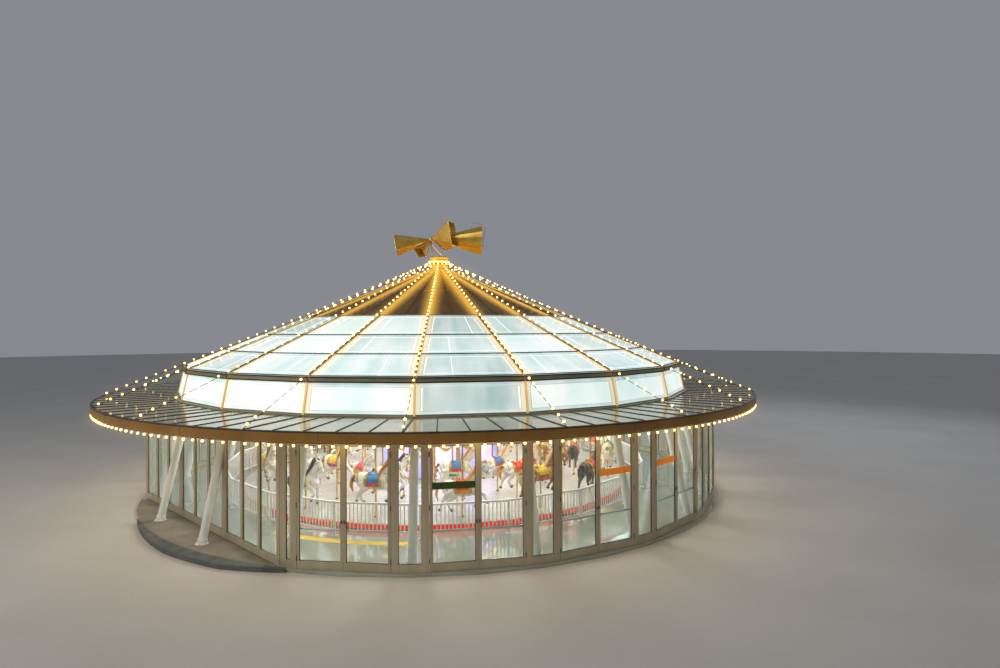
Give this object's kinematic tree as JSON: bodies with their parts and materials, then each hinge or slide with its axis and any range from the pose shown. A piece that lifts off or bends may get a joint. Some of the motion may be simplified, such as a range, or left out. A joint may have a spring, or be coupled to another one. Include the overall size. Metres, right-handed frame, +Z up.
{
  "type": "fairground carousel pavilion",
  "caption": "Round glass pavilion with a lit conical roof, flat canopy and golden pinwheel, round a turning carousel with carved mounts, a picket fence and outward opening doors.",
  "frame": {"origin": "on the pavilion's vertical axis at ground level", "axes": "+Z up, -Y towards the front doors, +X to the right seen from the front"},
  "size_m": [22.1916, 22.1916, 9.4988],
  "materials": {
    "floor": "polished pale concrete floor",
    "curb": "rough grey concrete",
    "window_frame": "champagne anodised",
    "clear_glass": "clear, slightly green",
    "frosted_glass": "frosted white, lit from inside",
    "canopy_glass": "weathered translucent glass",
    "white_steel": "white paint",
    "bronze_metal": "dark bronze",
    "golden_metal": "brushed golden bronze sheet",
    "cable": "black light cable",
    "fence_paint": "white gloss paint",
    "drum_panels": "painted panels with blue light",
    "dark_steel": "grey paint",
    "red_paint": "red painted riser, worn boards",
    "carved_wood": "painted carved wood on brass poles"
  },
  "bodies": {
    "root": {"floor_slab": "floor", "recess_curb": "curb", "wall_frame_right": "window_frame", "wall_glass_right": "clear_glass", "wall_frame_back": "window_frame", "wall_glass_back": "clear_glass", "wall_frame_left": "window_frame", "wall_glass_left": "clear_glass", "recess_wall_frame": "window_frame", "recess_wall_glass": "clear_glass", "side_light_1": "window_frame", "side_light_2": "window_frame", "side_light_3": "window_frame", "side_light_4": "window_frame", "head_ring": "window_frame", "roof_frame_front": "white_steel", "roof_frame_right": "white_steel", "roof_frame_back": "white_steel", "roof_frame_left": "white_steel", "roof_glass": "frosted_glass", "roof_cap": "golden_metal", "clerestory_glass": "frosted_glass", "eave_gutter": "bronze_metal", "canopy_deck": "canopy_glass", "canopy_frame_front": "bronze_metal", "picket_fence_front": "fence_paint", "canopy_frame_right": "bronze_metal", "picket_fence_right": "fence_paint", "canopy_frame_back": "bronze_metal", "picket_fence_back": "fence_paint", "canopy_frame_left": "bronze_metal", "picket_fence_left": "fence_paint", "peak_collar": "golden_metal", "ornament_stand": "golden_metal", "pinwheel": "golden_metal", "roof_light_strings": "cable", "rim_light_string": "cable", "centre_drum": "drum_panels", "centre_pole": "dark_steel"},
    "ride": {"platform": "red_paint", "sweep_hub": "dark_steel", "ride_section_1": "carved_wood", "ride_section_2": "carved_wood", "ride_section_3": "carved_wood", "ride_section_4": "carved_wood", "ride_section_5": "carved_wood", "ride_section_6": "carved_wood", "ride_section_7": "carved_wood", "ride_section_8": "carved_wood"},
    "door_1_left": {"door_1_left_leaf": "window_frame"},
    "door_1_right": {"door_1_right_leaf": "window_frame"},
    "door_2_left": {"door_2_left_leaf": "window_frame"},
    "door_2_right": {"door_2_right_leaf": "window_frame"},
    "door_3_left": {"door_3_left_leaf": "window_frame"},
    "door_3_right": {"door_3_right_leaf": "window_frame"},
    "door_4_left": {"door_4_left_leaf": "window_frame"},
    "door_4_right": {"door_4_right_leaf": "window_frame"}
  },
  "joints": [
    {"name": "ride_spin", "type": "hinge", "parent": "root", "child": "ride", "pos_m": [0, 0, 3.7], "axis": [0, 0, 1], "continuous": true},
    {"name": "door_1_left_swing", "type": "hinge", "parent": "root", "child": "door_1_left", "pos_m": [-2.3609, -9.54076, 1.5], "axis": [0, 0, -1], "range_deg": [0, 90]},
    {"name": "door_1_right_swing", "type": "hinge", "parent": "root", "child": "door_1_right", "pos_m": [-0.16486, -9.82715, 1.5], "axis": [0, 0, 1], "range_deg": [0, 90]},
    {"name": "door_2_left_swing", "type": "hinge", "parent": "root", "child": "door_2_left", "pos_m": [0.7029, -9.80336, 1.5], "axis": [0, 0, -1], "range_deg": [0, 90]},
    {"name": "door_2_right_swing", "type": "hinge", "parent": "root", "child": "door_2_right", "pos_m": [2.87996, -9.39712, 1.5], "axis": [0, 0, 1], "range_deg": [0, 90]},
    {"name": "door_3_left_swing", "type": "hinge", "parent": "root", "child": "door_3_left", "pos_m": [3.69791, -9.10634, 1.5], "axis": [0, 0, -1], "range_deg": [0, 90]},
    {"name": "door_3_right_swing", "type": "hinge", "parent": "root", "child": "door_3_right", "pos_m": [5.64288, -8.04723, 1.5], "axis": [0, 0, 1], "range_deg": [0, 90]},
    {"name": "door_4_left_swing", "type": "hinge", "parent": "root", "child": "door_4_left", "pos_m": [6.33093, -7.51793, 1.5], "axis": [0, 0, -1], "range_deg": [0, 90]},
    {"name": "door_4_right_swing", "type": "hinge", "parent": "root", "child": "door_4_right", "pos_m": [7.85343, -5.90963, 1.5], "axis": [0, 0, 1], "range_deg": [0, 90]}
  ]
}
